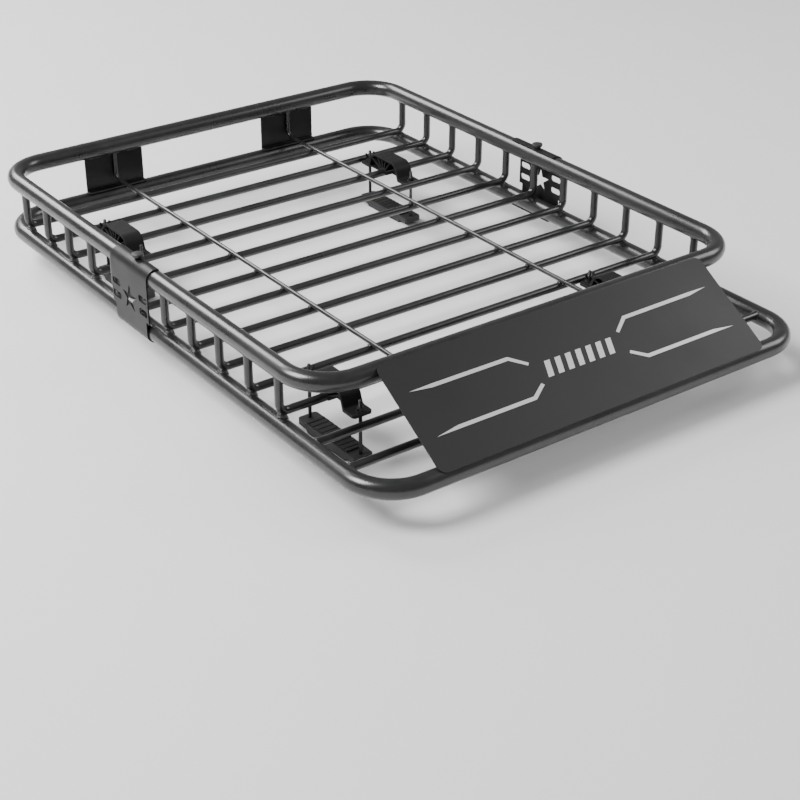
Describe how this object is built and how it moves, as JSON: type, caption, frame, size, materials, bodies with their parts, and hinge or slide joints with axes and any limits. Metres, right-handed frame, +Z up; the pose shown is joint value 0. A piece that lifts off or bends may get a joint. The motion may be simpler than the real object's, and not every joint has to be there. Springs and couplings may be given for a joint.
{
  "type": "roof cargo basket",
  "caption": "Tubular steel roof cargo basket in two bolted halves, with a barred floor, a sloping front fairing and clamps that grip a vehicle's crossbars.",
  "frame": {"origin": "middle of the footprint, at the underside of the four clamp jaws", "axes": "+X to the basket's right seen from behind, -Y towards the front fairing, +Z up"},
  "size_m": [0.9048, 1.2536, 0.1959],
  "materials": {
    "powder_coat": "satin black powder coat on steel",
    "fairing_paint": "fine-textured charcoal powder coat on sheet",
    "silver_film": "satin silver film",
    "black_fastener": "black zinc plate",
    "moulded_plastic": "glass-filled black nylon, fine texture",
    "jaw_metal": "black coated cast jaw",
    "pad_rubber": "matt rubber",
    "knob_plastic": "satin black plastic head on a steel screw"
  },
  "bodies": {
    "basket": {"fairing_brackets_lower": "black_fastener", "fairing_brackets_upper": "black_fastener", "fairing_graphics": "silver_film", "fairing_nuts": "black_fastener", "fairing_panel": "fairing_paint", "floor_bar_01": "powder_coat", "floor_bar_02": "powder_coat", "floor_bar_03": "powder_coat", "floor_bar_04": "powder_coat", "floor_bar_05": "powder_coat", "floor_bar_06": "powder_coat", "floor_bar_07": "powder_coat", "floor_bar_08": "powder_coat", "floor_bar_09": "powder_coat", "floor_bar_10": "powder_coat", "floor_bar_11": "powder_coat", "front_left_saddle": "moulded_plastic", "front_right_saddle": "moulded_plastic", "long_rod_front_left": "powder_coat", "long_rod_front_right": "powder_coat", "long_rod_rear_left": "powder_coat", "long_rod_rear_right": "powder_coat", "lower_joint_bolts": "black_fastener", "lower_rail_front": "powder_coat", "lower_rail_rear": "powder_coat", "nose_cross_bar_1": "powder_coat", "nose_cross_bar_2": "powder_coat", "rear_left_saddle": "moulded_plastic", "rear_plate_left": "powder_coat", "rear_plate_right": "powder_coat", "rear_right_saddle": "moulded_plastic", "side_plate_left": "powder_coat", "side_plate_right": "powder_coat", "stud_washers": "black_fastener", "top_rail_front": "powder_coat", "top_rail_rear": "powder_coat"},
    "rear_left_jaw": {"rear_left_jaw": "jaw_metal", "rear_left_jaw_pad": "pad_rubber", "rear_left_clamp_bolts": "black_fastener"},
    "rear_left_wing_nut": {"rear_left_wing_nut": "black_fastener"},
    "rear_left_hex_nut": {"rear_left_hex_nut": "black_fastener"},
    "rear_right_jaw": {"rear_right_jaw": "jaw_metal", "rear_right_jaw_pad": "pad_rubber", "rear_right_clamp_bolts": "black_fastener"},
    "rear_right_wing_nut": {"rear_right_wing_nut": "black_fastener"},
    "rear_right_hex_nut": {"rear_right_hex_nut": "black_fastener"},
    "front_left_jaw": {"front_left_jaw": "jaw_metal", "front_left_jaw_pad": "pad_rubber", "front_left_clamp_bolts": "black_fastener"},
    "front_left_wing_nut": {"front_left_wing_nut": "black_fastener"},
    "front_left_hex_nut": {"front_left_hex_nut": "black_fastener"},
    "front_right_jaw": {"front_right_jaw": "jaw_metal", "front_right_jaw_pad": "pad_rubber", "front_right_clamp_bolts": "black_fastener"},
    "front_right_wing_nut": {"front_right_wing_nut": "black_fastener"},
    "front_right_hex_nut": {"front_right_hex_nut": "black_fastener"},
    "knob_left": {"knob_bolt_left": "knob_plastic"},
    "knob_right": {"knob_bolt_right": "knob_plastic"}
  },
  "joints": [
    {"name": "rear_left_wing_nut_turn", "type": "hinge", "parent": "basket", "child": "rear_left_wing_nut", "pos_m": [-0.328, 0.4124, 0.098], "axis": [0, 0, 1], "range_deg": [0, 3600]},
    {"name": "rear_left_jaw_slide", "type": "slide", "parent": "basket", "child": "rear_left_jaw", "axis": [0, 0, -1], "range_m": [0, 0.01]},
    {"name": "rear_left_hex_nut_turn", "type": "hinge", "parent": "basket", "child": "rear_left_hex_nut", "pos_m": [-0.328, 0.2724, 0.096], "axis": [0, 0, 1], "range_deg": [0, 3600]},
    {"name": "rear_right_wing_nut_turn", "type": "hinge", "parent": "basket", "child": "rear_right_wing_nut", "pos_m": [0.276, 0.4124, 0.098], "axis": [0, 0, 1], "range_deg": [0, 3600]},
    {"name": "rear_right_jaw_slide", "type": "slide", "parent": "basket", "child": "rear_right_jaw", "axis": [0, 0, -1], "range_m": [0, 0.01]},
    {"name": "rear_right_hex_nut_turn", "type": "hinge", "parent": "basket", "child": "rear_right_hex_nut", "pos_m": [0.276, 0.2724, 0.096], "axis": [0, 0, 1], "range_deg": [0, 3600]},
    {"name": "front_left_wing_nut_turn", "type": "hinge", "parent": "basket", "child": "front_left_wing_nut", "pos_m": [-0.334, -0.282, 0.098], "axis": [0, 0, 1], "range_deg": [0, 3600]},
    {"name": "front_left_jaw_slide", "type": "slide", "parent": "basket", "child": "front_left_jaw", "axis": [0, 0, -1], "range_m": [0, 0.01]},
    {"name": "front_left_hex_nut_turn", "type": "hinge", "parent": "basket", "child": "front_left_hex_nut", "pos_m": [-0.334, -0.422, 0.096], "axis": [0, 0, 1], "range_deg": [0, 3600]},
    {"name": "front_right_wing_nut_turn", "type": "hinge", "parent": "basket", "child": "front_right_wing_nut", "pos_m": [0.254, -0.282, 0.098], "axis": [0, 0, 1], "range_deg": [0, 3600]},
    {"name": "front_right_jaw_slide", "type": "slide", "parent": "basket", "child": "front_right_jaw", "axis": [0, 0, -1], "range_m": [0, 0.01]},
    {"name": "front_right_hex_nut_turn", "type": "hinge", "parent": "basket", "child": "front_right_hex_nut", "pos_m": [0.254, -0.422, 0.096], "axis": [0, 0, 1], "range_deg": [0, 3600]},
    {"name": "knob_left_turn", "type": "hinge", "parent": "basket", "child": "knob_left", "pos_m": [-0.434, 0.077, 0.19], "axis": [0, 0, 1], "continuous": true},
    {"name": "knob_right_turn", "type": "hinge", "parent": "basket", "child": "knob_right", "pos_m": [0.434, 0.077, 0.19], "axis": [0, 0, 1], "continuous": true}
  ],
  "couplings": [
    {"joint": "rear_left_wing_nut_turn", "follows": "rear_left_jaw_slide", "rad_per_m": 6283.2},
    {"joint": "rear_left_hex_nut_turn", "follows": "rear_left_jaw_slide", "rad_per_m": 6283.2},
    {"joint": "rear_right_wing_nut_turn", "follows": "rear_right_jaw_slide", "rad_per_m": 6283.2},
    {"joint": "rear_right_hex_nut_turn", "follows": "rear_right_jaw_slide", "rad_per_m": 6283.2},
    {"joint": "front_left_wing_nut_turn", "follows": "front_left_jaw_slide", "rad_per_m": 6283.2},
    {"joint": "front_left_hex_nut_turn", "follows": "front_left_jaw_slide", "rad_per_m": 6283.2},
    {"joint": "front_right_wing_nut_turn", "follows": "front_right_jaw_slide", "rad_per_m": 6283.2},
    {"joint": "front_right_hex_nut_turn", "follows": "front_right_jaw_slide", "rad_per_m": 6283.2}
  ]
}
